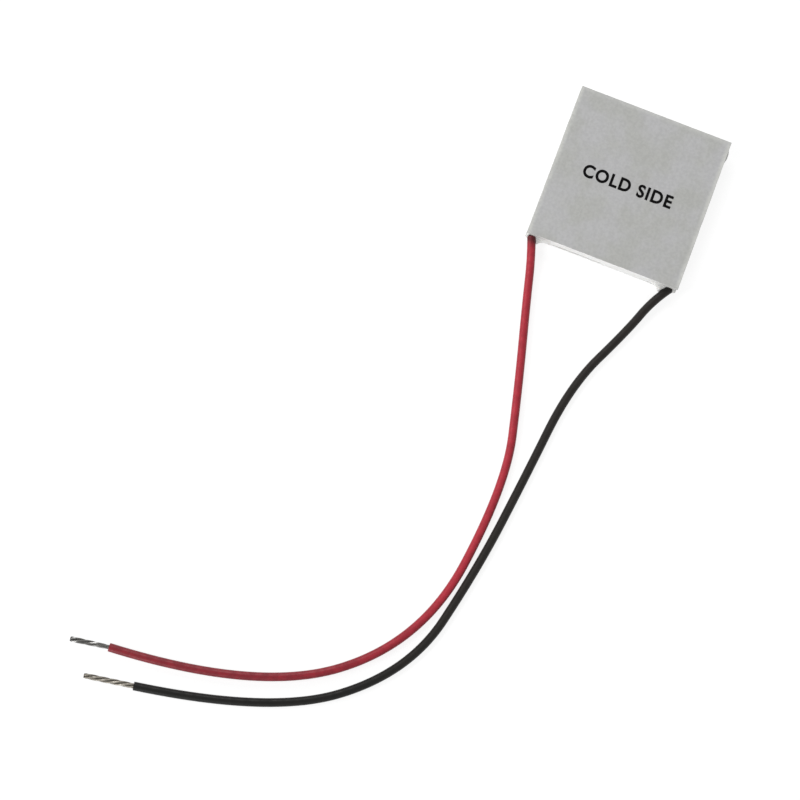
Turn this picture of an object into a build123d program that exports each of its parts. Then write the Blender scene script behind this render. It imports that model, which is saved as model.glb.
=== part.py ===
# Thermoelectric cooling module: two ceramic plates, a string of semiconductor couples between them,
# a sealed edge and two stranded leads. Millimetres.
# The origin is the centre of the hot face, +Z points to the cold face and the leads leave along -Y.
from build123d import *
import math
import os

# Plates
plate_side = 30.0
plate_thickness = 0.8

# Couples: pellets on a square grid, joined in a winding string by copper bridges on both plates
bridges_per_column = 6
array_margin = 0.9
pad_spacing = 0.55
copper_thickness = 0.3
pellet_side = 1.4
pellet_height = 1.6

# Edge sealant: a bead between the plates, which was squeezed out a little near one corner
sealant_recess = 0.15
sealant_inset = 0.7
sealant_hollow = 0.2
squeeze_start = 0.4
squeeze_length = 4.4
squeeze_reach = 0.35

# Boots: the flared sealant where a lead comes out. The red one leaves the lead's upper side bare.
boot_spread = 3.3
boot_corner_margin = 0.1
boot_lip = 0.22
boot_hollow = 0.3
red_boot_inner_reach = 0.95
red_boot_outer_reach = 0.3
red_boot_top = 0.3
black_boot_inner_reach = 1.1
black_boot_outer_reach = 0.2
black_boot_top = 0.35

# Terminals and solder joints
terminal_inset = 0.75
root_reach = 1.65
solder_film = 0.05
solder_width = 1.5
solder_beyond_root = 0.35
solder_rise = 0.72
solder_top_inset = 0.25

# Leads: the insulation is drawn with flat facets round its section
lead_diameter = 1.6
lead_facets = 16
conductor_diameter = 0.96
jacket_standoff = 0.05
fit_clearance = 0.02
red_lead_inset = 1.1
black_lead_inset = 1.3
red_tail_length = 7.3
black_tail_length = 9.3
red_tail_turn = 5.0
black_tail_turn = 0.0

# Twisted tail: strands round the outside of the bundle, and how far along it they turn once
outer_strands = 6
strand_lay = 20.0
strand_groove = 0.05
tail_section_spacing = 1.25

# Lead routes from the exit: across along X, then out along -Y. The points before floor_point are at
# the height of the joint, and the rest lie on the floor.
floor_point = 2
bend_share = 0.45
red_route = [
    (0.0, 0.0),
    (1.4, 3.8),
    (3.4, 11.6),
    (7.6, 27.2),
    (11.9, 45.4),
    (7.6, 78.0),
    (-17.5, 97.1),
    (-45.2, 98.8),
]
black_route = [
    (0.0, 0.0),
    (-2.2, 3.1),
    (-4.7, 10.2),
    (-11.0, 23.6),
    (-13.0, 43.1),
    (-15.3, 61.7),
    (-20.4, 83.9),
    (-41.3, 99.8),
    (-66.1, 103.7),
]

# Places worked out from the sizes above
plate_edge = plate_side / 2
cells = 2 * bridges_per_column
pitch = (plate_side - 2 * array_margin) / cells
pad_width = pitch - pad_spacing
pad_length = pitch + pad_width
plate_spacing = 2 * copper_thickness + pellet_height
pellet_base = plate_thickness + copper_thickness
cold_pad_base = pellet_base + pellet_height
cold_plate_base = plate_thickness + plate_spacing
lead_radius = lead_diameter / 2
conductor_radius = conductor_diameter / 2
lead_axis_height = pellet_base + solder_film + conductor_radius
terminal_edge = plate_edge - terminal_inset
bead_middle = plate_edge - (sealant_inset + sealant_recess + sealant_hollow) / 2
half_lip = lead_radius + boot_lip

on_its_base = (Align.CENTER, Align.CENTER, Align.MIN)
last_cell = cells - 1
top_row = last_cell

os.makedirs("parts", exist_ok=True)


def save(piece, name):
    """Label a finished piece and write it to its own file."""
    piece.part.label = name
    export_step(piece.part, f"parts/{name}.step")


def cell(index):
    """Distance of a column or row of cells from the module's middle."""
    return (index - last_cell / 2) * pitch


def between(first, second):
    """Place of a bridge that spans two neighbouring columns or rows."""
    return (cell(first) + cell(second)) / 2


def is_free(column, row):
    """The two cells at the lead corners hold the lead joints and no pellet."""
    return row == 0 and column in (0, last_cell)


def bead_profile():
    """Section right through the bead from side to side, with both outer walls wiped hollow."""
    half = plate_edge - sealant_recess
    middle = plate_thickness + plate_spacing / 2
    with BuildSketch() as profile:
        with BuildLine():
            left = ThreePointArc(
                (-half, plate_thickness), (-half + sealant_hollow, middle), (-half, cold_plate_base)
            )
            right = ThreePointArc(
                (half, plate_thickness), (half - sealant_hollow, middle), (half, cold_plate_base)
            )
            Line(left @ 0, right @ 0)
            Line(left @ 1, right @ 1)
        make_face()
    return profile.sketch


def squeeze_outline():
    """Plan of the sealant that was squeezed out past the plates, from inside the bead."""
    back = plate_edge - squeeze_start
    front = back - squeeze_length
    with BuildSketch() as outline:
        with BuildLine():
            Line((bead_middle, front), (bead_middle, back))
            ThreePointArc(
                (bead_middle, back), (plate_edge + squeeze_reach, (back + front) / 2), (bead_middle, front)
            )
        make_face()
    return outline.sketch


def strand_outline():
    """Section of the tinned bundle: one arc for each outer strand, with grooves between them."""
    groove_radius = conductor_radius - strand_groove
    step = 360 / outer_strands
    with BuildSketch() as outline:
        with BuildLine():
            for strand in range(outer_strands):
                ThreePointArc(
                    Vector(groove_radius, 0).rotate(Axis.Z, strand * step),
                    Vector(conductor_radius, 0).rotate(Axis.Z, (strand + 0.5) * step),
                    Vector(groove_radius, 0).rotate(Axis.Z, (strand + 1) * step),
                )
        make_face()
    return outline.sketch


class Lead:
    """One lead: which corner it leaves, its route and the planes its joint is built on."""

    def __init__(self, colour, terminal, side, inset, route, tail_length, tail_turn, boot_reach, boot_top):
        self.colour = colour
        self.terminal = terminal
        self.side = side
        self.tail_length = tail_length
        self.inner_reach, self.outer_reach = boot_reach
        self.boot_top = boot_top
        self.exit = Vector(side * (plate_edge - inset), -plate_edge - jacket_standoff, lead_axis_height)
        self.points = [self.route_point(index, place) for index, place in enumerate(route)]
        self.heading = (self.points[1] - self.points[0]).normalized()
        self.end_heading = (self.points[-1] - self.points[-2]).normalized()
        self.tail_heading = self.end_heading.rotate(Axis.Z, tail_turn)

    def route_point(self, index, place):
        """Point of the route in the module's frame."""
        across, out = place
        height = lead_axis_height if index < floor_point else lead_radius
        return Vector(self.exit.X + across, self.exit.Y - out, height)

    def bend_radii(self):
        """Largest tangent arc that the two runs at each inner point leave room for."""
        radii = []
        for before, here, after in zip(self.points, self.points[1:], self.points[2:]):
            run_in = here - before
            run_out = after - here
            half_turn = math.radians(run_in.get_angle(run_out)) / 2
            radii.append(bend_share * min(run_in.length, run_out.length) / math.tan(half_turn))
        return radii

    def exit_plane(self):
        """Plane square to the lead, where its jacket starts."""
        return Plane(self.exit, x_dir=Vector(0, 0, 1).cross(self.heading), z_dir=self.heading)

    def root_plane(self, place):
        """Plane square to the stripped end, at a place along Y, facing into the module."""
        return Plane((self.exit.X, place, lead_axis_height), x_dir=(1, 0, 0), z_dir=(0, 1, 0))

    def lip_point(self, flank, reach):
        """Plan point of the boot's lip on a flank of the lead, at a distance out from the plates."""
        across = self.heading.rotate(Axis.Z, 90) * (flank * half_lip)
        along = (plate_edge + reach + self.exit.Y + across.Y) / -self.heading.Y
        return self.exit.X + self.heading.X * along + across.X, -plate_edge - reach

    def boot_outline(self):
        """Plan of the boot: flanks that run from the lip on the lead out along the plates' edge."""
        inner_lip = self.lip_point(-self.side, self.inner_reach)
        outer_lip = self.lip_point(self.side, self.outer_reach)
        inner_foot = (self.exit.X - self.side * boot_spread, -plate_edge)
        outer_foot = (self.side * (plate_edge - boot_corner_margin), -plate_edge)
        with BuildSketch() as outline:
            with BuildLine():
                Line(inner_lip, outer_lip)
                Line(outer_lip, outer_foot)
                Line(outer_foot, (outer_foot[0], -bead_middle))
                Line((outer_foot[0], -bead_middle), (inner_foot[0], -bead_middle))
                Line((inner_foot[0], -bead_middle), inner_foot)
                SagittaArc(inner_foot, inner_lip, self.side * boot_hollow)
            make_face()
        return outline.sketch

    def tail_plane(self, along):
        """Plane across the bare tail, turned with the lay of its strands. The first is the jacket's end."""
        heading = self.tail_heading if along else self.end_heading
        turned = Vector(0, 0, 1).rotate(Axis((0, 0, 0), heading), 360 * along / strand_lay)
        return Plane(self.points[-1] + heading * along, x_dir=turned, z_dir=heading)

    def terminal_span(self):
        """Middle and size of the terminal pad: two cells of the corner column, widened to the edges."""
        column = 0 if self.side < 0 else last_cell
        inner = abs(cell(column)) - pad_width / 2
        back = cell(1) + pad_width / 2
        middle = (self.side * (inner + terminal_edge) / 2, (back - terminal_edge) / 2)
        return middle, (terminal_edge - inner, back + terminal_edge)


leads = [
    Lead(
        "red", "positive", -1, red_lead_inset, red_route, red_tail_length, red_tail_turn,
        (red_boot_inner_reach, red_boot_outer_reach), red_boot_top,
    ),
    Lead(
        "black", "negative", 1, black_lead_inset, black_route, black_tail_length, black_tail_turn,
        (black_boot_inner_reach, black_boot_outer_reach), black_boot_top,
    ),
]
root_tip = -terminal_edge + root_reach

# Ceramic plates
with BuildPart() as hot_plate:
    Box(plate_side, plate_side, plate_thickness, align=on_its_base)
save(hot_plate, "hot_plate")

with BuildPart() as cold_plate:
    with Locations((0, 0, cold_plate_base)):
        Box(plate_side, plate_side, plate_thickness, align=on_its_base)
save(cold_plate, "cold_plate")

# Pellets, column by column: the two kinds take turns like the squares of a chessboard
for column in range(cells):
    for kind, parity in (("p", 0), ("n", 1)):
        rows = [row for row in range(cells) if (column + row) % 2 == parity and not is_free(column, row)]
        with BuildPart() as pellets:
            with Locations(*[(cell(column), cell(row), pellet_base) for row in rows]):
                Box(pellet_side, pellet_side, pellet_height, align=on_its_base)
        save(pellets, f"{kind}_pellets_column_{column + 1:02d}")

# Copper bridges: the string climbs one column and comes down the next, and turns on the cold plate
for column in range(cells):
    with BuildPart() as hot_bridges:
        hot_rows = [row for row in range(0, cells, 2) if not is_free(column, row)]
        with Locations(*[(cell(column), between(row, row + 1), plate_thickness) for row in hot_rows]):
            Box(pad_width, pad_length, copper_thickness, align=on_its_base)
    save(hot_bridges, f"hot_bridges_column_{column + 1:02d}")

    with BuildPart() as cold_bridges:
        cold_rows = range(1, top_row, 2)
        with Locations(*[(cell(column), between(row, row + 1), cold_pad_base) for row in cold_rows]):
            Box(pad_width, pad_length, copper_thickness, align=on_its_base)
        if column < last_cell:
            turn_row = top_row if column % 2 == 0 else 0
            with Locations((between(column, column + 1), cell(turn_row), cold_pad_base)):
                Box(pad_length, pad_width, copper_thickness, align=on_its_base)
    save(cold_bridges, f"cold_bridges_column_{column + 1:02d}")

# Terminal pads, stripped lead ends, solder, insulation and tails
for lead in leads:
    pad_middle, pad_size = lead.terminal_span()
    with BuildPart() as terminal:
        with Locations((*pad_middle, plate_thickness)):
            Box(*pad_size, copper_thickness, align=on_its_base)
    save(terminal, f"{lead.terminal}_terminal")

    with BuildPart() as solder:
        solder_length = root_reach + solder_beyond_root
        for rise, inset in ((0, 0), (solder_rise, solder_top_inset)):
            with BuildSketch(Plane.XY.offset(pellet_base + rise)):
                with Locations((lead.exit.X, -terminal_edge + solder_length / 2)):
                    Rectangle(solder_width - 2 * inset, solder_length - 2 * inset)
        loft()
        with BuildSketch(Plane.XY.offset(pellet_base)):
            with Locations(pad_middle):
                Rectangle(*pad_size)
        extrude(amount=solder_rise, mode=Mode.INTERSECT)
        with BuildSketch(lead.root_plane(root_tip + fit_clearance)):
            Circle(conductor_radius + fit_clearance)
        extrude(amount=-(solder_length + fit_clearance), mode=Mode.SUBTRACT)
    save(solder, f"{lead.colour}_lead_solder")

    radii = lead.bend_radii()
    with BuildPart() as insulation:
        with BuildLine() as path:
            FilletPolyline(*lead.points, radius=radii)
        with BuildSketch(lead.exit_plane()) as section:
            RegularPolygon(lead_radius, lead_facets)
        sweep(path=path.line)
    save(insulation, f"{lead.colour}_lead_insulation")
    tube_length = path.wire().length
    tube_share = insulation.part.volume / (section.sketch.area * tube_length)
    print(lead.colour, "lead length", round(tube_length, 1), "volume share", round(tube_share, 5))
    print(lead.colour, "lead radii", [round(radius, 1) for radius in radii])

    with BuildPart() as conductor:
        with BuildSketch(lead.root_plane(root_tip)):
            Circle(conductor_radius)
        extrude(amount=-(root_tip - lead.exit.Y + lead_diameter))
        split(bisect_by=lead.exit_plane(), keep=Keep.BOTTOM)
        section_count = max(2, round(lead.tail_length / tail_section_spacing))
        for step in range(section_count + 1):
            with BuildSketch(lead.tail_plane(lead.tail_length * step / section_count)):
                add(strand_outline())
        loft(ruled=True)
    save(conductor, f"{lead.colour}_lead_conductor")

# Sealant: the bead, a boot on each lead, and the holes that the leads pass through
with BuildPart() as edge_sealant:
    with BuildSketch(Plane.XZ):
        add(bead_profile())
    extrude(amount=plate_edge, both=True)
    with BuildSketch(Plane.YZ):
        add(bead_profile())
    extrude(amount=plate_edge, both=True, mode=Mode.INTERSECT)
    with BuildSketch(Plane.XY.offset(plate_thickness)):
        Rectangle(plate_side - 2 * sealant_inset, plate_side - 2 * sealant_inset)
    extrude(amount=plate_spacing, mode=Mode.SUBTRACT)

    with BuildSketch(Plane.XY.offset(plate_thickness)):
        add(squeeze_outline())
    extrude(amount=plate_spacing)

    for lead in leads:
        with BuildSketch(Plane.XY.offset(lead_axis_height - half_lip)):
            add(lead.boot_outline())
        extrude(amount=half_lip + lead.boot_top)
    for plate_base in (0, cold_plate_base):
        with Locations((0, 0, plate_base)):
            Box(plate_side, plate_side, plate_thickness, align=on_its_base, mode=Mode.SUBTRACT)
    for lead in leads:
        with BuildSketch(lead.exit_plane()):
            Circle(lead_radius + fit_clearance)
        extrude(amount=lead_diameter + lead.inner_reach, mode=Mode.SUBTRACT)
        root_start = lead.exit.Y - conductor_radius
        with BuildSketch(lead.root_plane(root_start)):
            Circle(conductor_radius + fit_clearance)
        extrude(amount=root_tip + fit_clearance - root_start, mode=Mode.SUBTRACT)
save(edge_sealant, "edge_sealant")
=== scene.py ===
"""Looks of a thermoelectric cooling module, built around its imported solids.

Two ceramic plates, the upper one printed, hold a string of semiconductor couples between them. A bead of
silicone seals their edge, and two stranded leads come out of it and lie on the floor. Lengths are metres.
"""

import logging
import math
from abc import ABC, abstractmethod
from dataclasses import dataclass, field
from enum import Enum

import bmesh
import bpy
from mathutils import Matrix, Vector, noise


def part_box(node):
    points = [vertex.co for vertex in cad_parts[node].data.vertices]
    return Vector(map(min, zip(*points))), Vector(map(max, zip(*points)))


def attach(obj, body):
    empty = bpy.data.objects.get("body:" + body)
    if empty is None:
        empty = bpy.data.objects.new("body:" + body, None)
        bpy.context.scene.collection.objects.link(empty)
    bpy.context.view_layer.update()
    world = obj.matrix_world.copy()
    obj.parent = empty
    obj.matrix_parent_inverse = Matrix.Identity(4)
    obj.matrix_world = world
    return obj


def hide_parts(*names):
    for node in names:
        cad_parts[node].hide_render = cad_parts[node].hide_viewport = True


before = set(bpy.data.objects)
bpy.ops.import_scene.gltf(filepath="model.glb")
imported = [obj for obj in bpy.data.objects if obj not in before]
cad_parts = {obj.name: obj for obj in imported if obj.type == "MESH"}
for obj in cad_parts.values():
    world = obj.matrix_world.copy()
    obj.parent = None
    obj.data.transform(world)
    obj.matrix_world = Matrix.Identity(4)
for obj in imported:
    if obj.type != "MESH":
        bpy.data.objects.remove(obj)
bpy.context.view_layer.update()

LOG = logging.getLogger("cooling_module")
MM = 0.001
BODY = "root"
RIDGE = "ridge"
NOISE_LOW = 0.3
NOISE_HIGH = 0.7
WHITE = (1.0, 1.0, 1.0, 1.0)
# Sockets of the Mix node when it mixes colours.
MIX_FIRST, MIX_SECOND, MIX_RESULT = 6, 7, 2
STRAND_INPUTS = {
    "Length": "Float", "Lay": "Float", "Strands": "Int", "Strand Radius": "Float",
    "Ring Radius": "Float", "Core Radius": "Float", "Wander": "Float", "Pinch": "Float",
    "Waist": "Float", "Seed": "Float", "Start": "Vector", "Turn": "Float", "Finish": "Material",
}

Colour = tuple[float, float, float]
Place = tuple[float, float, float]
Socket = bpy.types.NodeSocket


class Board:
    """A node tree, with short calls that add nodes and join them."""

    def __init__(self, tree: bpy.types.NodeTree) -> None:
        """Keep the tree that the nodes go into."""
        self.tree = tree

    def node(self, kind: str, **settings: object) -> bpy.types.Node:
        """Add a node.

        Args:
            kind: Full type name of the node.
            settings: Properties of the node.

        Returns:
            The new node.
        """
        made = self.tree.nodes.new(kind)
        for key, value in settings.items():
            setattr(made, key, value)
        return made

    def feed(self, target: Socket, value: object) -> None:
        """Join a socket to a target, or set the target's own value.

        Args:
            target: Input socket.
            value: Output socket of another node, or a constant.
        """
        if isinstance(value, bpy.types.NodeSocket):
            self.tree.links.new(value, target)
        else:
            target.default_value = value

    def maths(self, operation: str, first: object, second: object = 0.0, clamp: bool = False) -> Socket:
        """Add a math node.

        Args:
            operation: Name of the operation.
            first: First number or socket.
            second: Second number or socket.
            clamp: Whether the result is kept between 0 and 1.

        Returns:
            The socket with the result.
        """
        made = self.node("ShaderNodeMath", operation=operation, use_clamp=clamp)
        self.feed(made.inputs[0], first)
        self.feed(made.inputs[1], second)
        return made.outputs[0]

    def vector(self, x: object, y: object, z: object) -> Socket:
        """Add a node that joins three numbers or sockets into a vector.

        Args:
            x: First part.
            y: Second part.
            z: Third part.

        Returns:
            The vector's socket.
        """
        made = self.node("ShaderNodeCombineXYZ")
        for target, value in zip(made.inputs, (x, y, z)):
            self.feed(target, value)
        return made.outputs[0]


class MaterialBoard(Board):
    """Node tree of one material, on Object coordinates."""

    def __init__(self, name: str) -> None:
        """Start a material with its shader.

        Args:
            name: Name of the material.
        """
        self.material = bpy.data.materials.new(name)
        self.material.use_nodes = True
        super().__init__(self.material.node_tree)
        self.shader = self.tree.nodes["Principled BSDF"]
        self.place = self.node("ShaderNodeTexCoord").outputs["Object"]

    def set(self, **values: object) -> None:
        """Set or join the shader's sockets.

        Args:
            values: Socket names, with _ for a space, and what goes into them.
        """
        for name, value in values.items():
            self.feed(self.shader.inputs[name.replace("_", " ")], value)

    def axes(self) -> tuple[Socket, Socket, Socket]:
        """Split the Object coordinates.

        Returns:
            The sockets of x, y and z.
        """
        made = self.node("ShaderNodeSeparateXYZ")
        self.feed(made.inputs[0], self.place)
        return tuple(made.outputs)

    def grain(self, size: float, detail: float = 2.0, stretch: Place = (1.0, 1.0, 1.0)) -> Socket:
        """Add noise on Object coordinates.

        Args:
            size: Length of one feature.
            detail: Number of finer layers.
            stretch: How many times longer a feature is along each axis.

        Returns:
            The noise, from 0 to 1.
        """
        mapping = self.node("ShaderNodeMapping")
        mapping.inputs["Scale"].default_value = [1.0 / (size * times) for times in stretch]
        self.feed(mapping.inputs["Vector"], self.place)
        made = self.node("ShaderNodeTexNoise")
        made.inputs["Scale"].default_value = 1.0
        made.inputs["Detail"].default_value = detail
        self.feed(made.inputs["Vector"], mapping.outputs[0])
        return made.outputs["Fac"]

    def span(self, value: object, low: float, high: float, start: float = 0.0, end: float = 1.0) -> Socket:
        """Map a range to another one, with soft ends.

        Args:
            value: Number or socket to map.
            low: Value that gives start.
            high: Value that gives end.
            start: Result at low.
            end: Result at high.

        Returns:
            The mapped number.
        """
        made = self.node("ShaderNodeMapRange", interpolation_type="SMOOTHSTEP")
        for target, given in zip(made.inputs, (value, low, high, start, end)):
            self.feed(target, given)
        return made.outputs[0]

    def spread(self, grain: Socket, start: float, end: float) -> Socket:
        """Map the usual range of a noise.

        Args:
            grain: Noise to map.
            start: Result where the noise is low.
            end: Result where the noise is high.

        Returns:
            The mapped number.
        """
        return self.span(grain, NOISE_LOW, NOISE_HIGH, start, end)

    def blend(self, share: object, first: object, second: object, mode: str = "MIX") -> Socket:
        """Mix two colours.

        Args:
            share: How much of the second one shows.
            first: Colour or socket.
            second: Colour or socket.
            mode: Blend mode.

        Returns:
            The mixed colour.
        """
        made = self.node("ShaderNodeMix", data_type="RGBA", blend_type=mode)
        self.feed(made.inputs["Factor"], share)
        for index, given in ((MIX_FIRST, first), (MIX_SECOND, second)):
            self.feed(made.inputs[index], (*given, 1.0) if isinstance(given, tuple) else given)
        return made.outputs[MIX_RESULT]

    def relief(self, height: Socket, depth: float) -> None:
        """Give the shader a bumped surface.

        Args:
            height: Height of the surface, from 0 to 1.
            depth: Real height of one step from 0 to 1.
        """
        made = self.node("ShaderNodeBump")
        made.inputs["Distance"].default_value = depth
        self.feed(made.inputs["Height"], height)
        self.feed(self.shader.inputs["Normal"], made.outputs[0])


@dataclass(frozen=True)
class Finish(ABC):
    """Surface of a material slot of the record."""

    name: str
    slot: str

    @abstractmethod
    def paint(self, board: MaterialBoard) -> None:
        """Build the material's nodes.

        Args:
            board: Board that gets them.
        """

    def material(self) -> bpy.types.Material:
        """Material of this finish, made at its first use.

        Returns:
            The one material that all its pieces share.
        """
        known = bpy.data.materials.get(self.name)
        if known:
            return known
        board = MaterialBoard(self.name)
        self.paint(board)
        return board.material


@dataclass(frozen=True)
class ExitShade:
    """Painted shade: grey on the front edge beside the leads' exits, where the walls and sealant lie in
    shade.
    """

    unshaded_until: float = 9.0 * MM
    full_from: float = 13.4 * MM
    behind: float = -14.6 * MM
    front: float = -14.9 * MM

    def share(self, board: MaterialBoard) -> Socket:
        """How much of the painted shade shows at a spot.

        Args:
            board: Board that gets the nodes.

        Returns:
            1 at the exits, 0 away from them and on the other sides.
        """
        x, y, _ = board.axes()
        across = board.span(board.maths("ABSOLUTE", x), self.unshaded_until, self.full_from)
        return board.maths("MULTIPLY", across, board.span(y, self.behind, self.front))


@dataclass(frozen=True)
class CeramicFinish(Finish):
    """Matt alumina: grey and cloudy, with a pale band inside a darker line of painted shade at the rims,
    and paler sawn walls, partly painted light.
    """

    body: Colour = (0.476, 0.476, 0.480)
    warm: Colour = (0.447, 0.450, 0.433)
    pale: Colour = (0.605, 0.61, 0.58)
    # Painted shade: the dark line along the rims.
    edge: Colour = (0.36, 0.36, 0.355)
    # Paler walls: partly the sawn ceramic's own colour, partly painted light.
    wall: Colour = (0.91, 0.91, 0.90)
    # Grey of the painted shade on the walls beside the leads' exits.
    shaded_grey: Colour = (0.52, 0.52, 0.505)
    darkening: ExitShade = ExitShade()
    half_side: float = 15.0 * MM
    line_width: float = 0.12 * MM
    edge_shade_share: float = 0.4
    rim_width: float = 1.0 * MM
    back_rim_share: float = 0.5
    patch_size: float = 4.0 * MM
    cloud_size: float = 5.0 * MM
    stroke_width: float = 0.5 * MM
    speck_size: float = 0.5 * MM
    relief_size: float = 0.09 * MM
    relief_depth: float = 0.006 * MM

    def paint(self, board: MaterialBoard) -> None:
        """Build the material's nodes.

        Args:
            board: Board that gets them.
        """
        x, y, _ = board.axes()
        from_side = board.maths("SUBTRACT", self.half_side, board.maths("ABSOLUTE", x))
        from_back = board.maths("SUBTRACT", self.half_side, y)
        side = board.span(from_side, self.line_width, self.rim_width, 1.0, 0.0)
        back = board.span(from_back, self.line_width, self.rim_width, self.back_rim_share, 0.0)
        patches = board.span(board.grain(self.patch_size, 3.0), 0.3, 0.65, 0.35, 1.0)
        rim = board.maths("MULTIPLY", board.maths("MAXIMUM", side, back), patches)
        from_edge = board.maths("MINIMUM", from_side, from_back)
        # Painted shade: a dark line right at the plate's edge.
        line = board.span(from_edge, 0.0, self.line_width, self.edge_shade_share, 0.0)
        facing = board.node("ShaderNodeSeparateXYZ")
        board.feed(facing.inputs[0], board.node("ShaderNodeNewGeometry").outputs["Normal"])
        # Walls take the paler colour: partly their own sawn tone, partly painted light.
        sawn_and_lit = board.span(board.maths("ABSOLUTE", facing.outputs[2]), 0.3, 0.6, 1.0, 0.0)

        clouds = board.grain(self.cloud_size, 4.0)
        colour = board.blend(board.span(clouds, 0.36, 0.66), self.body, self.warm)
        colour = board.blend(rim, colour, self.pale)
        colour = board.blend(line, colour, self.edge)
        # Beside the exits the walls get the grey of painted shade.
        wall = board.blend(self.darkening.share(board), self.wall, self.shaded_grey)
        colour = board.blend(sawn_and_lit, colour, wall)
        strokes = board.grain(self.stroke_width, 2.0, stretch=(1.0, 20.0, 1.0))
        strokes = board.spread(strokes, 0.988, 1.012)
        specks = board.spread(board.grain(self.speck_size, 4.0), 0.95, 1.05)
        tone = board.maths("MULTIPLY", strokes, specks)
        board.set(
            Base_Color=board.blend(1.0, colour, board.vector(tone, tone, tone), "MULTIPLY"),
            Roughness=board.spread(clouds, 0.58, 0.74),
            Specular_IOR_Level=0.25,
        )
        board.relief(board.grain(self.relief_size, 3.0), self.relief_depth)


@dataclass(frozen=True)
class SiliconeFinish(Finish):
    """White sealant, faintly see-through, with the soft gloss of cured rubber, and painted shade beside
    the leads' exits.
    """

    body: Colour = (0.90, 0.90, 0.89)
    shade: Colour = (0.84, 0.84, 0.825)
    # Grey of the painted shade beside the leads' exits.
    shaded_grey: Colour = (0.54, 0.54, 0.525)
    darkening: ExitShade = ExitShade()
    exit_shade_low: float = 0.9 * MM
    exit_shade_high: float = 2.6 * MM
    cloud_size: float = 1.4 * MM
    depth_of_light: float = 0.35 * MM
    relief_size: float = 0.5 * MM
    relief_depth: float = 0.03 * MM

    def paint(self, board: MaterialBoard) -> None:
        """Build the material's nodes.

        Args:
            board: Board that gets them.
        """
        clouds = board.grain(self.cloud_size, 3.0)
        colour = board.blend(board.span(clouds, 0.4, 0.72), self.body, self.shade)
        _, _, z = board.axes()
        # Painted shade beside the exits, stronger towards the top of the bead.
        upper = board.span(z, self.exit_shade_low, self.exit_shade_high, 0.25, 1.0)
        darkening = board.maths("MULTIPLY", self.darkening.share(board), upper)
        board.set(
            Base_Color=board.blend(darkening, colour, self.shaded_grey),
            Roughness=board.spread(clouds, 0.32, 0.5),
            Subsurface_Weight=0.25,
            Subsurface_Radius=(1.0, 0.95, 0.9),
            Subsurface_Scale=self.depth_of_light,
        )
        board.relief(board.grain(self.relief_size, 3.0), self.relief_depth)


@dataclass(frozen=True)
class InsulationFinish(Finish):
    """Extruded soft plastic, a little mottled; darker near the plates from heat where it was soldered in
    and from painted shade under the plate's edge, and darker towards the bare end from painted shade.
    """

    body: Colour = (0.40, 0.021, 0.037)
    # Deeper tone: shown at random, and as painted shade towards the bare end.
    deep: Colour = (0.185, 0.009, 0.017)
    # Darkest near the plates: heat discolouration and painted shade.
    scorched_and_shaded: Colour = (0.085, 0.009, 0.012)
    gloss: float = 0.42
    sheen: float = 0.3
    dust: float = 0.22
    falloff_end: float = -118.0 * MM
    falloff_start: float = -80.0 * MM
    heat_and_shade_end: float = -18.8 * MM
    heat_and_shade_start: float = -15.0 * MM
    mottle_size: float = 1.1 * MM
    relief_size: float = 0.28 * MM
    relief_depth: float = 0.014 * MM

    def paint(self, board: MaterialBoard) -> None:
        """Build the material's nodes.

        Args:
            board: Board that gets them.
        """
        _, y, _ = board.axes()
        mottle = board.grain(self.mottle_size, 4.0)
        # Painted shade: darker towards the bare end, as if the light fell off there.
        along = board.span(y, self.falloff_end, self.falloff_start, 0.9, 0.1)
        falloff_and_mottle = board.maths("ADD", along, board.spread(mottle, -0.12, 0.28))
        colour = board.blend(falloff_and_mottle, self.body, self.deep)
        darkening = board.span(mottle, 0.2, 0.8, 0.75, 1.15)
        # Near the plates, patchy: heat discolouration and painted shade under the plate's edge.
        heat_and_shade = board.span(y, self.heat_and_shade_end, self.heat_and_shade_start)
        heat_and_shade = board.maths("MULTIPLY", board.maths("MULTIPLY", heat_and_shade, heat_and_shade), darkening, clamp=True)
        board.set(
            Base_Color=board.blend(heat_and_shade, colour, self.scorched_and_shaded),
            Roughness=board.spread(mottle, self.gloss, self.gloss + 0.14),
            Specular_IOR_Level=self.sheen,
            Sheen_Weight=self.dust,
            Sheen_Roughness=0.4,
        )
        board.relief(board.grain(self.relief_size, 3.0), self.relief_depth)


@dataclass(frozen=True)
class TinFinish(Finish):
    """Tinned strands: bright on the ridges, where the tin flowed and with a painted highlight, and darker
    in the grooves with painted shade.
    """

    # Bright ridges: tin, and partly a painted highlight.
    bright: Colour = (0.42, 0.415, 0.405)
    middle: Colour = (0.085, 0.083, 0.079)
    # Painted shade in the grooves between strands.
    groove_shade: Colour = (0.027, 0.0265, 0.025)
    bright_from: float = 0.59
    flow_size: float = 1.3 * MM
    relief_size: float = 0.25 * MM
    relief_depth: float = 0.015 * MM

    def paint(self, board: MaterialBoard) -> None:
        """Build the material's nodes.

        Args:
            board: Board that gets them.
        """
        ridge = board.node("ShaderNodeAttribute", attribute_name=RIDGE).outputs["Fac"]
        flow = board.grain(self.flow_size, 3.0, stretch=(2.2, 1.0, 1.0))
        flooded = board.span(flow, self.bright_from - 0.08, self.bright_from + 0.1)
        # Bright on the ridges: tin where it flowed, and a painted highlight on the strands' tops.
        tin_and_highlight = board.maths("MULTIPLY", board.span(ridge, 0.88, 0.98), flooded)
        # Painted shade: darker where the strands face into the bundle.
        colour = board.blend(board.span(ridge, 0.55, 0.95), self.groove_shade, self.middle)
        board.set(
            Base_Color=board.blend(tin_and_highlight, colour, self.bright),
            Roughness=board.span(flow, 0.35, 0.7, 0.45, 0.28),
            Metallic=0.85,
        )
        board.relief(board.grain(self.relief_size, 3.0), self.relief_depth)


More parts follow.
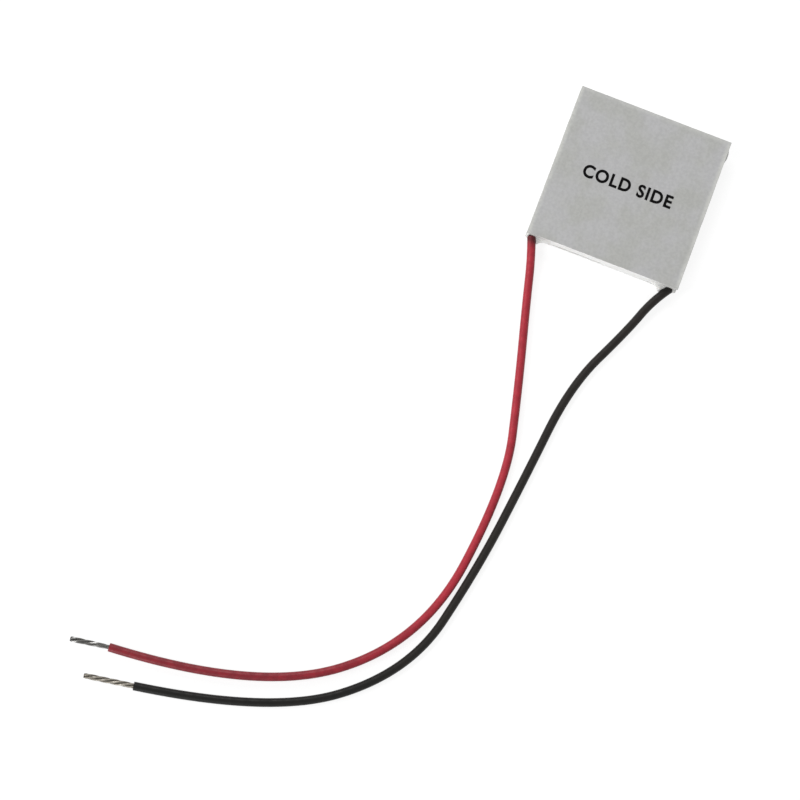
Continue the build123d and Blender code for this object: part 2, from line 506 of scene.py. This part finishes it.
@dataclass(frozen=True)
class SolderFinish(Finish):
    """Cooled solder with a fine frosted skin."""

    body: Colour = (0.60, 0.60, 0.61)
    frost: Colour = (0.42, 0.42, 0.42)
    skin_size: float = 0.25 * MM
    skin_depth: float = 0.01 * MM

    def paint(self, board: MaterialBoard) -> None:
        """Build the material's nodes.

        Args:
            board: Board that gets them.
        """
        skin = board.grain(self.skin_size, 4.0)
        board.set(
            Base_Color=board.blend(board.span(skin, 0.35, 0.7), self.body, self.frost),
            Roughness=board.spread(skin, 0.25, 0.42),
            Metallic=1.0,
        )
        board.relief(skin, self.skin_depth)


@dataclass(frozen=True)
class CopperFinish(Finish):
    """Rolled copper pad with rolling lines and a light brown tarnish."""

    body: Colour = (0.72, 0.36, 0.22)
    tarnish: Colour = (0.34, 0.15, 0.085)
    film_size: float = 0.9 * MM
    line_width: float = 0.08 * MM
    line_depth: float = 0.006 * MM

    def paint(self, board: MaterialBoard) -> None:
        """Build the material's nodes.

        Args:
            board: Board that gets them.
        """
        film = board.grain(self.film_size, 4.0)
        lines = board.grain(self.line_width, 2.0, stretch=(1.0, 18.0, 1.0))
        board.set(
            Base_Color=board.blend(board.span(film, 0.45, 0.75), self.body, self.tarnish),
            Roughness=board.spread(film, 0.26, 0.48),
            Metallic=1.0,
        )
        board.relief(lines, self.line_depth)


@dataclass(frozen=True)
class TellurideFinish(Finish):
    """Cast semiconductor: grey crystal grains of slightly different tones, cut with a fine saw."""

    pale: Colour = (0.30, 0.30, 0.32)
    dark: Colour = (0.16, 0.16, 0.18)
    grain_size: float = 0.35 * MM
    cut_width: float = 0.05 * MM
    cut_depth: float = 0.005 * MM

    def paint(self, board: MaterialBoard) -> None:
        """Build the material's nodes.

        Args:
            board: Board that gets them.
        """
        crystals = board.node("ShaderNodeTexVoronoi")
        crystals.inputs["Scale"].default_value = 1.0 / self.grain_size
        board.feed(crystals.inputs["Vector"], board.place)
        tone = board.node("ShaderNodeSeparateColor")
        board.feed(tone.inputs[0], crystals.outputs["Color"])
        cuts = board.grain(self.cut_width, 2.0, stretch=(1.0, 1.0, 12.0))
        board.set(
            Base_Color=board.blend(tone.outputs[0], self.pale, self.dark),
            Roughness=board.span(tone.outputs[1], 0.0, 1.0, 0.3, 0.55),
            Metallic=0.85,
        )
        board.relief(cuts, self.cut_depth)


@dataclass(frozen=True)
class InkFinish(Finish):
    """Black marking ink, slightly thin in places."""

    body: Colour = (0.002, 0.002, 0.002)
    thin: Colour = (0.009, 0.009, 0.009)
    cover_size: float = 0.4 * MM
    relief_size: float = 0.1 * MM
    relief_depth: float = 0.003 * MM

    def paint(self, board: MaterialBoard) -> None:
        """Build the material's nodes.

        Args:
            board: Board that gets them.
        """
        cover = board.grain(self.cover_size, 4.0)
        board.set(
            Base_Color=board.blend(board.span(cover, 0.5, 0.8), self.body, self.thin),
            Roughness=board.spread(cover, 0.6, 0.8),
            Specular_IOR_Level=0.05,
        )
        board.relief(board.grain(self.relief_size, 3.0), self.relief_depth)


class Finishes(Enum):
    """The finishes of the module."""

    CERAMIC = CeramicFinish("alumina", "ceramic")
    SEALANT = SiliconeFinish("white_silicone", "sealant")
    RED = InsulationFinish("red_vinyl", "red_insulation")
    BLACK = InsulationFinish(
        "black_vinyl",
        "black_insulation",
        body=(0.016, 0.0132, 0.0113),
        deep=(0.0028, 0.0028, 0.0022),
        scorched_and_shaded=(0.004, 0.0036, 0.0032),
        gloss=0.4,
        sheen=0.17,
    )
    DULL_STRAND = TinFinish("dull_strands", "tinned_strand")
    BRIGHT_STRAND = TinFinish(
        "bright_strands",
        "tinned_strand",
        bright=(0.40, 0.375, 0.33),
        middle=(0.18, 0.165, 0.14),
        groove_shade=(0.055, 0.049, 0.041),
        bright_from=0.56,
    )
    SOLDER = SolderFinish("frosted_solder", "solder")
    COPPER = CopperFinish("rolled_copper", "copper")
    P_TELLURIDE = TellurideFinish("p_crystals", "p_telluride")
    N_TELLURIDE = TellurideFinish(
        "n_crystals", "n_telluride", pale=(0.36, 0.35, 0.34), dark=(0.22, 0.21, 0.20)
    )
    INK = InkFinish("marking_ink", "ceramic")

    def dress(self, piece: bpy.types.Object) -> None:
        """Put this finish on a piece or a CAD node.

        Args:
            piece: Object whose material slots are filled.
        """
        piece.data.materials.clear()
        piece.data.materials.append(self.value.material())


def new_object(name: str, data: bpy.types.ID) -> bpy.types.Object:
    """Make an object at the origin.

    Args:
        name: Name of the object.
        data: Its mesh or curve.

    Returns:
        The linked object.
    """
    made = bpy.data.objects.new(name, data)
    bpy.context.scene.collection.objects.link(made)
    return made


def plain_mesh(made: bpy.types.Object) -> bpy.types.Mesh:
    """Mesh of an object with its modifiers applied.

    Args:
        made: Object to evaluate.

    Returns:
        A new mesh that depends on nothing.
    """
    evaluated = made.evaluated_get(bpy.context.evaluated_depsgraph_get())
    return bpy.data.meshes.new_from_object(evaluated)


def settle(piece: bpy.types.Object, finish: Finishes, *nodes: str) -> None:
    """Dress a piece, put it on the module and name the nodes it stands for.

    Args:
        piece: Finished piece, with its place in its mesh.
        finish: Its finish.
        nodes: CAD nodes that the piece replaces.
    """
    finish.dress(piece)
    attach(piece, BODY)
    if nodes:
        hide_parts(*nodes)
    LOG.info("%s in %s, for %s", piece.name, finish.value.name, ", ".join(nodes) or "no node")


@dataclass
class CeramicPlate:
    """One ceramic plate: a thin square with broken edges that are a little chipped."""

    node: str
    cells: int = 90
    edge_break: float = 0.03 * MM
    edge_steps: int = 2
    edge_profile: float = 0.6
    chip_depth: float = 0.07 * MM
    chip_length: float = 1.3 * MM
    chip_from: float = 0.12
    chip_reach: float = 3.0
    chip_place: Place = (3.0, 7.0, 0.0)
    sharp_angle: float = math.radians(60.0)
    print_relief: float = 0.0

    def build(self) -> bpy.types.Object:
        """Build the plate over its node.

        Returns:
            The finished piece.
        """
        low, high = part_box(self.node)
        high.z -= self.print_relief
        shell = bmesh.new()
        bmesh.ops.create_cube(shell, size=1.0)
        bmesh.ops.scale(shell, vec=high - low, verts=shell.verts)
        bmesh.ops.translate(shell, vec=(low + high) / 2, verts=shell.verts)
        level = [
            edge for edge in shell.edges if abs(edge.verts[0].co.z - edge.verts[1].co.z) < self.edge_break
        ]
        bmesh.ops.subdivide_edges(shell, edges=level, cuts=self.cells - 1, use_grid_fill=True)
        sharp = [edge for edge in shell.edges if edge.calc_face_angle(0.0) > self.sharp_angle]
        bmesh.ops.bevel(
            shell, geom=sharp, affect="EDGES", offset_type="OFFSET",
            offset=self.edge_break, segments=self.edge_steps, profile=self.edge_profile,
        )
        self.chip(shell, (low + high) / 2, (high - low) / 2)
        mesh = bpy.data.meshes.new(self.node)
        shell.to_mesh(mesh)
        shell.free()
        piece = new_object(f"{self.node}_ceramic", mesh)
        settle(piece, Finishes.CERAMIC, self.node)
        return piece

    def chip(self, shell: bmesh.types.BMesh, middle: Vector, half: Vector) -> None:
        """Nibble the rims inwards where the saw left small chips.

        Args:
            shell: Plate to change.
            middle: Centre of the plate.
            half: Half of its size.
        """
        near = self.chip_reach * self.edge_break
        for vertex in shell.verts:
            offset = vertex.co - middle
            gaps = [half[axis] - abs(offset[axis]) for axis in range(3)]
            if gaps[2] > near or min(gaps[0], gaps[1]) > near:
                continue
            spot = vertex.co / self.chip_length + Vector(self.chip_place)
            spot.z += vertex.co.z / MM
            depth = self.chip_depth * max(0.0, noise.noise(spot) - self.chip_from)
            for axis in (0, 1):
                if gaps[axis] < near:
                    vertex.co[axis] -= math.copysign(depth, offset[axis])


@dataclass
class EdgeSealant:
    """Silicone bead between the plates, wiped by hand, with a boot round each lead.

    The front is filled up to the plates, but less round lean_middle, which leaves a shallow groove.
    """

    node: str = "edge_sealant"
    weld: float = 0.001 * MM
    voxel: float = 0.1 * MM
    smoothing: int = 6
    softness: float = 0.5
    ripple: float = 0.05 * MM
    ripple_length: float = 2.6 * MM
    fill: float = 0.14 * MM
    fill_reach: float = 3.0
    bulge: float = 1.2
    boot_blend: float = 0.6 * MM
    lean: float = 0.5
    lean_middle: float = -4.6 * MM
    lean_length: float = 5.2 * MM
    seat: float = 1.12

    def build(self) -> bpy.types.Object:
        """Build the bead from its node's form.

        Returns:
            The finished piece.
        """
        solid = bmesh.new()
        solid.from_mesh(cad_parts[self.node].data)
        bmesh.ops.remove_doubles(solid, verts=solid.verts, dist=self.weld)
        mesh = bpy.data.meshes.new(self.node)
        solid.to_mesh(mesh)
        solid.free()
        draft = new_object("sealant_draft", mesh)
        voxels = draft.modifiers.new("voxels", "REMESH")
        voxels.mode = "VOXEL"
        voxels.voxel_size = self.voxel
        soften = draft.modifiers.new("soften", "SMOOTH")
        soften.factor = self.softness
        soften.iterations = self.smoothing
        bead = plain_mesh(draft)
        bpy.data.objects.remove(draft)
        bead.name = "edge_sealant_bead"
        self.wipe(bead)
        bead.shade_smooth()
        piece = new_object("edge_sealant_bead", bead)
        settle(piece, Finishes.SEALANT, self.node)
        return piece

    def wipe(self, bead: bpy.types.Mesh) -> None:
        """Ripple the outside, fill the front and seat the bead on the plates.

        Args:
            bead: Mesh to change.
        """
        _, under_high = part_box("hot_plate")
        over_low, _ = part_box("cold_plate")
        low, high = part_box(self.node)
        middle = (under_high.z + over_low.z) / 2
        half_gap = (over_low.z - under_high.z) / 2
        edge = under_high.x
        normals = [vertex.normal.copy() for vertex in bead.vertices]
        for vertex, normal in zip(bead.vertices, normals):
            place = vertex.co
            wave = noise.fractal(place / self.ripple_length, 1.0, 2.0, 3)
            place += normal * (wave * self.ripple)
            outside = max(0.0, -place.y - edge) / self.boot_blend
            if normal.y < 0.0 and outside < 1.0 and place.y < self.fill_reach * self.fill - edge:
                lean = self.lean * math.exp(-(((place.x - self.lean_middle) / self.lean_length) ** 4))
                swell = 1.0 + self.bulge * max(0.0, 1.0 - ((place.z - middle) / half_gap) ** 2)
                place.y += self.fill * swell * (1.0 - lean) * (1.0 - outside) * max(-1.0, 2.0 * normal.y)
            if max(abs(place.x), abs(place.y)) < edge:
                level = (place.z - middle) / half_gap * self.seat
                place.z = middle + max(-1.0, min(1.0, level)) * half_gap
            place.x = max(low.x, min(high.x, place.x))
            place.y = max(low.y, min(high.y, place.y))


@dataclass
class StrandTree:
    """Node tree of a twisted bundle along X, placed by its Start and Turn."""

    name: str = "twisted_strands"
    points: int = 70
    sides: int = 14
    ripple_length: float = 1.6 * MM
    strand_gap: float = 9.0
    growth_power: float = 0.7
    spread_share: float = 0.25
    blunt_rate: float = 25.0
    blunt_least: float = 0.4
    board: Board = field(init=False)
    given: bpy.types.NodeOutputs = field(init=False)
    along: bpy.types.NodeOutputs = field(init=False)

    def build(self) -> bpy.types.NodeTree:
        """Build the tree at its first use.

        Returns:
            The one tree, ready for a modifier.
        """
        known = bpy.data.node_groups.get(self.name)
        if known:
            return known
        tree = bpy.data.node_groups.new(self.name, "GeometryNodeTree")
        for name, kind in STRAND_INPUTS.items():
            tree.interface.new_socket(name, in_out="INPUT", socket_type=f"NodeSocket{kind}")
        tree.interface.new_socket("Geometry", in_out="OUTPUT", socket_type="NodeSocketGeometry")
        self.board = Board(tree)
        self.given = self.board.node("NodeGroupInput").outputs
        self.along = self.board.node("GeometryNodeSplineParameter").outputs
        core = self.core()
        self.place(self.mark(self.thicken(self.twist(core), core)))
        return tree

    def core(self) -> Socket:
        """Make the straight line in the bundle's middle.

        Returns:
            The line, in even steps.
        """
        line = self.board.node("GeometryNodeCurvePrimitiveLine")
        self.board.feed(line.inputs["End"], self.board.vector(self.given["Length"], 0.0, 0.0))
        fine = self.board.node("GeometryNodeResampleCurve")
        fine.inputs["Count"].default_value = self.points
        self.board.feed(fine.inputs["Curve"], line.outputs[0])
        return fine.outputs[0]

    def twist(self, core: Socket) -> Socket:
        """Wind copies of the core round it, pressed flat towards the tip.

        Args:
            core: Line that the strands wind round.

        Returns:
            The strands' lines.
        """
        board, given, along = self.board, self.given, self.along
        copies = board.node("GeometryNodeDuplicateElements", domain="SPLINE")
        board.feed(copies.inputs["Geometry"], core)
        board.feed(copies.inputs["Amount"], given["Strands"])
        turns = board.maths("DIVIDE", along["Length"], given["Lay"])
        share = board.maths("DIVIDE", copies.outputs["Duplicate Index"], given["Strands"])
        angle = board.maths("MULTIPLY", board.maths("ADD", turns, share), math.tau)

        ripple = board.node("ShaderNodeTexNoise", noise_dimensions="2D")
        ripple.inputs["Scale"].default_value = 1.0
        step = board.maths("DIVIDE", along["Length"], self.ripple_length)
        own = board.maths("ADD", board.maths("MULTIPLY", share, self.strand_gap), given["Seed"])
        board.feed(ripple.inputs["Vector"], board.vector(step, own, 0.0))
        drift = board.maths("SUBTRACT", ripple.outputs["Fac"], 0.5)
        drift = board.maths("MULTIPLY", drift, given["Wander"])

        growth = board.maths("POWER", along["Factor"], self.growth_power)
        gain = board.maths("MULTIPLY", growth, board.maths("SUBTRACT", 1.0, given["Waist"]))
        swell = board.maths("ADD", given["Waist"], gain)
        radius = board.maths("ADD", board.maths("MULTIPLY", given["Ring Radius"], swell), drift)
        press = board.maths("MULTIPLY", given["Pinch"], growth)
        wide = board.maths("ADD", 1.0, board.maths("MULTIPLY", press, self.spread_share))
        flat = board.maths("SUBTRACT", 1.0, press)
        wide = board.maths("MULTIPLY", radius, wide)
        flat = board.maths("MULTIPLY", radius, flat)
        across = board.maths("MULTIPLY", wide, board.maths("COSINE", angle))
        above = board.maths("MULTIPLY", flat, board.maths("SINE", angle))
        moved = board.node("GeometryNodeSetPosition")
        board.feed(moved.inputs["Geometry"], copies.outputs["Geometry"])
        board.feed(moved.inputs["Offset"], board.vector(0.0, across, above))
        return moved.outputs[0]

    def thicken(self, strands: Socket, core: Socket) -> Socket:
        """Give the strands and the core their thickness, with blunt tips.

        Args:
            strands: The strands' lines.
            core: The core's line.

        Returns:
            The bundle's mesh.
        """
        board = self.board
        left = board.maths("SUBTRACT", 1.0, self.along["Factor"])
        left = board.maths("MULTIPLY", left, self.blunt_rate)
        tip = board.maths("SQRT", board.maths("MINIMUM", left, 1.0))
        tip = board.maths("MAXIMUM", tip, self.blunt_least)
        bundle = board.node("GeometryNodeJoinGeometry")
        for curve, radius in ((strands, "Strand Radius"), (core, "Core Radius")):
            profile = board.node("GeometryNodeCurvePrimitiveCircle")
            profile.inputs["Resolution"].default_value = self.sides
            board.feed(profile.inputs["Radius"], self.given[radius])
            wire = board.node("GeometryNodeCurveToMesh")
            wire.inputs["Fill Caps"].default_value = True
            board.feed(wire.inputs["Curve"], curve)
            board.feed(wire.inputs["Profile Curve"], profile.outputs[0])
            board.feed(wire.inputs["Scale"], tip)
            board.feed(bundle.inputs[0], wire.outputs[0])
        return bundle.outputs[0]

    def mark(self, bundle: Socket) -> Socket:
        """Store on each point how much it faces away from the bundle's axis.

        Args:
            bundle: The bundle's mesh, along X.

        Returns:
            The marked mesh.
        """
        board = self.board
        spot = board.node("ShaderNodeSeparateXYZ")
        board.feed(spot.inputs[0], board.node("GeometryNodeInputPosition").outputs[0])
        outwards = board.node("ShaderNodeVectorMath", operation="NORMALIZE")
        board.feed(outwards.inputs[0], board.vector(0.0, spot.outputs[1], spot.outputs[2]))
        facing = board.node("ShaderNodeVectorMath", operation="DOT_PRODUCT")
        board.feed(facing.inputs[0], outwards.outputs["Vector"])
        board.feed(facing.inputs[1], board.node("GeometryNodeInputNormal").outputs[0])
        marked = board.node("GeometryNodeStoreNamedAttribute", data_type="FLOAT", domain="POINT")
        marked.inputs["Name"].default_value = RIDGE
        board.feed(marked.inputs["Geometry"], bundle)
        board.feed(marked.inputs["Value"], facing.outputs["Value"])
        return marked.outputs[0]

    def place(self, bundle: Socket) -> None:
        """Turn and move the bundle to its place, and give it its material.

        Args:
            bundle: The finished mesh, along X.
        """
        board, given = self.board, self.given
        turn = board.node("FunctionNodeEulerToRotation")
        board.feed(turn.inputs[0], board.vector(0.0, 0.0, given["Turn"]))
        placed = board.node("GeometryNodeTransform")
        board.feed(placed.inputs["Geometry"], bundle)
        board.feed(placed.inputs["Translation"], given["Start"])
        board.feed(placed.inputs["Rotation"], turn.outputs[0])
        smooth = board.node("GeometryNodeSetShadeSmooth")
        board.feed(smooth.inputs[0], placed.outputs[0])
        real = board.node("GeometryNodeRealizeInstances")
        board.feed(real.inputs[0], smooth.outputs[0])
        dressed = board.node("GeometryNodeSetMaterial")
        board.feed(dressed.inputs["Geometry"], real.outputs[0])
        board.feed(dressed.inputs["Material"], given["Finish"])
        board.feed(board.node("NodeGroupOutput").inputs[0], dressed.outputs[0])


@dataclass
class StrandedEnd:
    """A bare end of a conductor: strands twisted round a core and flooded with tin."""

    name: str
    finish: Finishes
    start: Vector
    heading: Vector
    length: float
    lay: float
    pinch: float
    waist: float
    seed: float
    strands: int = 4
    strand_radius: float = 0.23 * MM
    ring_radius: float = 0.28 * MM
    core_radius: float = 0.2 * MM
    wander: float = 0.07 * MM

    def build(self) -> bpy.types.Mesh:
        """Build the twisted end with its node tree.

        Returns:
            A plain mesh in the module's frame.
        """
        tree = StrandTree().build()
        host = new_object(self.name, bpy.data.meshes.new(self.name))
        modifier = host.modifiers.new("strands", "NODES")
        modifier.node_group = tree
        inputs = {
            "Length": self.length, "Lay": self.lay, "Strands": self.strands,
            "Strand Radius": self.strand_radius, "Ring Radius": self.ring_radius,
            "Core Radius": self.core_radius, "Wander": self.wander,
            "Pinch": self.pinch, "Waist": self.waist, "Seed": self.seed, "Start": self.start,
            "Turn": math.atan2(self.heading.y, self.heading.x),
            "Finish": self.finish.value.material(),
        }
        for item in tree.interface.items_tree:
            if item.in_out == "INPUT":
                modifier[item.identifier] = inputs[item.name]
        mesh = plain_mesh(host)
        bpy.data.objects.remove(host)
        return mesh


class Side(Enum):
    """Side on which a lead comes out."""

    LEFT = -1
    RIGHT = 1


@dataclass
class Lead:
    """One stranded lead: its insulation along the route and the bare conductor at both ends."""

    colour: str
    finish: Finishes
    strand_finish: Finishes
    side: Side
    inset: float
    route: list[tuple[float, float]]
    tail_length: float
    tail_lay: float
    tail_turn: float
    pinch: float
    waist: float
    seed: float
    diameter: float = 1.6 * MM
    standoff: float = 0.05 * MM
    axis_height: float = 1.63 * MM
    floor_point: int = 2
    root_length: float = 2.45 * MM
    root_seed_step: float = 3.0
    buried: float = 0.6 * MM
    curve_steps: int = 24
    ring_steps: int = 7

    def points(self) -> list[Vector]:
        """Points of the route in the module's frame.

        Returns:
            The points from the exit to the end of the insulation.
        """
        low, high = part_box("hot_plate")
        exit_x = high.x - self.inset if self.side is Side.RIGHT else low.x + self.inset
        exit_y = low.y - self.standoff
        points = []
        for index, (across, out) in enumerate(self.route):
            height = self.axis_height if index < self.floor_point else self.diameter / 2
            points.append(Vector((exit_x + across, exit_y - out, height)))
        return points

    def build_insulation(self, points: list[Vector]) -> bpy.types.Object:
        """Build the insulation as a smooth cord.

        Args:
            points: Control points of the route.

        Returns:
            The finished curve.
        """
        curve = bpy.data.curves.new(f"{self.colour}_lead_cord", "CURVE")
        curve.dimensions = "3D"
        spline = curve.splines.new("NURBS")
        spline.points.add(len(points) - 1)
        for target, place in zip(spline.points, points):
            target.co = (*place, 1.0)
        spline.order_u = 3
        spline.use_endpoint_u = True
        spline.resolution_u = self.curve_steps
        spline.use_smooth = True
        curve.bevel_depth = self.diameter / 2
        curve.bevel_resolution = self.ring_steps
        curve.use_fill_caps = True
        cord = new_object(f"{self.colour}_lead_cord", curve)
        settle(cord, self.finish, f"{self.colour}_lead_insulation")
        return cord

    def build_conductor(self, points: list[Vector]) -> bpy.types.Object:
        """Build the bare tail and the stripped root as one piece.

        Args:
            points: Control points of the route.

        Returns:
            The finished piece.
        """
        heading = (points[-1] - points[-2]).normalized()
        heading.rotate(Matrix.Rotation(self.tail_turn, 3, "Z"))
        tail = StrandedEnd(
            f"{self.colour}_tail", self.strand_finish, points[-1] - heading * self.buried, heading,
            self.tail_length + self.buried, self.tail_lay, self.pinch, self.waist, self.seed,
        )
        root = StrandedEnd(
            f"{self.colour}_root", self.strand_finish, points[0], Vector((0.0, 1.0, 0.0)),
            self.root_length, self.tail_lay, 0.0, 1.0, self.seed + self.root_seed_step,
        )
        both = bmesh.new()
        for end in (tail, root):
            mesh = end.build()
            both.from_mesh(mesh)
            bpy.data.meshes.remove(mesh)
        mesh = bpy.data.meshes.new(f"{self.colour}_lead_strands")
        both.to_mesh(mesh)
        both.free()
        mesh.shade_smooth()
        piece = new_object(f"{self.colour}_lead_strands", mesh)
        settle(piece, self.strand_finish, f"{self.colour}_lead_conductor")
        return piece

    def build(self) -> bpy.types.Object:
        """Returns:
            The insulation's curve.
        """
        points = self.points()
        cord = self.build_insulation(points)
        conductor = self.build_conductor(points)
        return cord


@dataclass
class SideMark:
    """Plain printed words on the cold face."""

    words: str = "COLD SIDE"
    width: float = 17.7 * MM
    height: float = 2.6 * MM
    shift: float = -0.45 * MM
    boldness: float = 0.034
    spacing: float = 1.14
    thickness: float = 0.012 * MM
    draft_depth: float = 0.5
    curve_steps: int = 6

    def build(self) -> bpy.types.Object:
        """Build the print as a thin layer flush with the top of the cold plate's box.

        Returns:
            The finished piece.
        """
        low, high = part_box("cold_plate")
        text = bpy.data.curves.new("side_mark", "FONT")
        text.body = self.words
        text.extrude = self.draft_depth
        text.offset = self.boldness
        text.resolution_u = self.curve_steps
        text.space_character = self.spacing
        draft = new_object("side_mark_draft", text)
        mesh = plain_mesh(draft)
        bpy.data.objects.remove(draft)
        places = [vertex.co for vertex in mesh.vertices]
        first = Vector(min(along) for along in zip(*places))
        last = Vector(max(along) for along in zip(*places))
        size = last - first
        middle = (first + last) / 2
        scale = Matrix.Diagonal((self.width / size.x, self.height / size.y, self.thickness / size.z, 1.0))
        top = (low + high) / 2
        top.x += self.shift
        top.z = high.z - self.thickness / 2
        mesh.transform(Matrix.Translation(top) @ scale @ Matrix.Translation(-middle))
        mesh.name = "side_mark"
        piece = new_object("side_mark", mesh)
        settle(piece, Finishes.INK)
        return piece


@dataclass
class CoupleString:
    """The hidden string: pellets, copper pads and solder joints, which keep their solids."""

    finishes: dict[str, Finishes]

    def dress(self) -> None:
        """Put each finish on the nodes whose names start with its key."""
        for start, finish in self.finishes.items():
            names = sorted(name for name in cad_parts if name.startswith(start))
            for name in names:
                finish.dress(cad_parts[name])
            LOG.info("%d nodes of %s in %s", len(names), start, finish.value.name)


@dataclass(frozen=True)
class Lamp:
    """A soft box, placed by the picture's own right and up."""

    name: str
    azimuth: float
    elevation: float
    power: float
    distance: float = 1.1
    side: float = 0.5


@dataclass
class Studio:
    """White floor, soft boxes and a camera high above, leaning a little to the leads' side."""

    target: Place = (-25.92 * MM, -52.51 * MM, 0.0)
    distance: float = 420.0 * MM
    tilt: float = math.radians(8.16)
    roll: float = math.radians(20.94)
    lens: float = 102.06
    floor_half: float = 3.0
    floor_drop: float = 0.03 * MM
    lit_radius: float = 0.22
    white_radius: float = 0.5
    floor_tone: float = 0.24
    floor_glow: float = 0.84
    floor_bounce: float = 0.5
    sky: float = 0.3
    lamps: tuple[Lamp, ...] = (
        Lamp("key", math.radians(178.0), math.radians(40.0), power=5.3),
        Lamp("front", math.radians(-120.0), math.radians(20.0), power=5.2),
        Lamp("back", math.radians(95.0), math.radians(38.0), power=5.2),
    )

    def build(self) -> None:
        """Build the camera, the lamps, the world and the floor."""
        bpy.context.scene.view_settings.view_transform = "Standard"
        self.build_camera()
        for lamp in self.lamps:
            self.build_lamp(lamp)
        self.build_world()
        self.build_floor()

    def build_camera(self) -> None:
        """Build the camera at the photograph's angle."""
        data = bpy.data.cameras.new("camera")
        data.lens = self.lens
        camera = new_object("camera", data)
        turn = Matrix.Rotation(self.tilt, 4, "X") @ Matrix.Rotation(self.roll, 4, "Z")
        back = Matrix.Translation((0.0, 0.0, self.distance))
        camera.matrix_world = Matrix.Translation(self.target) @ turn @ back
        bpy.context.scene.camera = camera

    def build_lamp(self, lamp: Lamp) -> None:
        """Build a soft box that looks at the middle of the view.

        Args:
            lamp: What and where it is.
        """
        data = bpy.data.lights.new(lamp.name, "AREA")
        data.energy = lamp.power
        data.size = lamp.side
        turn = lamp.azimuth + self.roll
        level = math.cos(lamp.elevation)
        out = Vector((math.cos(turn) * level, math.sin(turn) * level, math.sin(lamp.elevation)))
        made = new_object(lamp.name, data)
        made.location = Vector(self.target) + out * lamp.distance
        made.rotation_euler = out.to_track_quat("Z", "Y").to_euler()

    @staticmethod
    def seen_directly(board: Board) -> Socket:
        """Whether a ray comes from the camera, a mirror or a pane.

        Args:
            board: Board that gets the nodes.

        Returns:
            1 for such rays and 0 for the rest.
        """
        path = board.node("ShaderNodeLightPath").outputs
        seen = board.maths("MAXIMUM", path["Is Camera Ray"], path["Is Glossy Ray"])
        return board.maths("MAXIMUM", seen, path["Is Transmission Ray"])

    def build_world(self) -> None:
        """Build an even sky that looks white and lights the object softly."""
        world = bpy.data.worlds.new("sky")
        world.use_nodes = True
        bpy.context.scene.world = world
        board = Board(world.node_tree)
        seen = self.seen_directly(board)
        strength = board.maths("ADD", board.maths("MULTIPLY", seen, 1.0 - self.sky), self.sky)
        background = world.node_tree.nodes["Background"]
        background.inputs["Color"].default_value = WHITE
        board.feed(background.inputs["Strength"], strength)

    def build_floor(self) -> None:
        """Build the floor, which is white to the camera and keeps the shadow."""
        mesh = bpy.data.meshes.new("floor")
        sheet = bmesh.new()
        bmesh.ops.create_grid(sheet, x_segments=1, y_segments=1, size=self.floor_half)
        middle = Vector(self.target) - Vector((0.0, 0.0, self.floor_drop))
        bmesh.ops.translate(sheet, vec=middle, verts=sheet.verts)
        sheet.to_mesh(mesh)
        sheet.free()
        floor = new_object("floor", mesh)
        board = MaterialBoard("white_floor")
        x, y, _ = board.axes()
        from_x = board.maths("SUBTRACT", x, self.target[0])
        from_y = board.maths("SUBTRACT", y, self.target[1])
        reach = board.node("ShaderNodeVectorMath", operation="LENGTH")
        board.feed(reach.inputs[0], board.vector(from_x, from_y, 0.0))
        far = board.span(reach.outputs["Value"], self.lit_radius, self.white_radius)
        near_tone = board.maths("MULTIPLY", board.maths("SUBTRACT", 1.0, far), self.floor_tone)
        glow = board.maths("ADD", self.floor_glow, board.maths("MULTIPLY", far, 1.0 - self.floor_glow))
        excess = board.maths("SUBTRACT", glow, self.floor_bounce)
        excess = board.maths("MULTIPLY", excess, self.seen_directly(board))
        board.set(
            Base_Color=board.vector(near_tone, near_tone, near_tone),
            Emission_Strength=board.maths("ADD", excess, self.floor_bounce),
            Emission_Color=WHITE,
            Roughness=1.0,
            Specular_IOR_Level=0.0,
        )
        mesh.materials.append(board.material)


def leads() -> list[Lead]:
    """The two leads, with their routes as across and out from the exit.

    Returns:
        The red lead and the black lead.
    """
    red_route = [
        (0.0, 0.0), (0.0014, 0.0038), (0.0034, 0.0116), (0.0076, 0.0272),
        (0.0119, 0.0454), (0.0076, 0.078), (-0.0175, 0.0971), (-0.0452, 0.0988),
    ]
    black_route = [
        (0.0, 0.0), (-0.0022, 0.0031), (-0.0047, 0.0102), (-0.011, 0.0236), (-0.013, 0.0431),
        (-0.0153, 0.0617), (-0.0204, 0.0839), (-0.0413, 0.0998), (-0.0661, 0.1037),
    ]
    return [
        Lead(
            "red", Finishes.RED, Finishes.DULL_STRAND, Side.LEFT, 1.1 * MM, red_route,
            tail_length=7.2 * MM, tail_lay=-8.0 * MM, tail_turn=math.radians(5.0),
            pinch=0.22, waist=0.6, seed=1.0,
        ),
        Lead(
            "black", Finishes.BLACK, Finishes.BRIGHT_STRAND, Side.RIGHT, 1.3 * MM, black_route,
            tail_length=9.2 * MM, tail_lay=-8.0 * MM, tail_turn=0.0,
            pinch=0.1, waist=1.0, seed=6.0,
        ),
    ]


def main() -> None:
    """Build the studio and every piece of the module, in order."""
    logging.basicConfig(level=logging.INFO, format="%(message)s")
    Studio().build()
    for lead in leads():
        lead.build()
    mark = SideMark()
    CeramicPlate("hot_plate").build()
    CeramicPlate("cold_plate", print_relief=mark.thickness / 2).build()
    mark.build()
    EdgeSealant().build()
    CoupleString(
        {
            "p_pellets": Finishes.P_TELLURIDE,
            "n_pellets": Finishes.N_TELLURIDE,
            "hot_bridges": Finishes.COPPER,
            "cold_bridges": Finishes.COPPER,
            "positive_terminal": Finishes.COPPER,
            "negative_terminal": Finishes.COPPER,
            "red_lead_solder": Finishes.SOLDER,
            "black_lead_solder": Finishes.SOLDER,
        }
    ).dress()


if __name__ == "__main__":
    main()
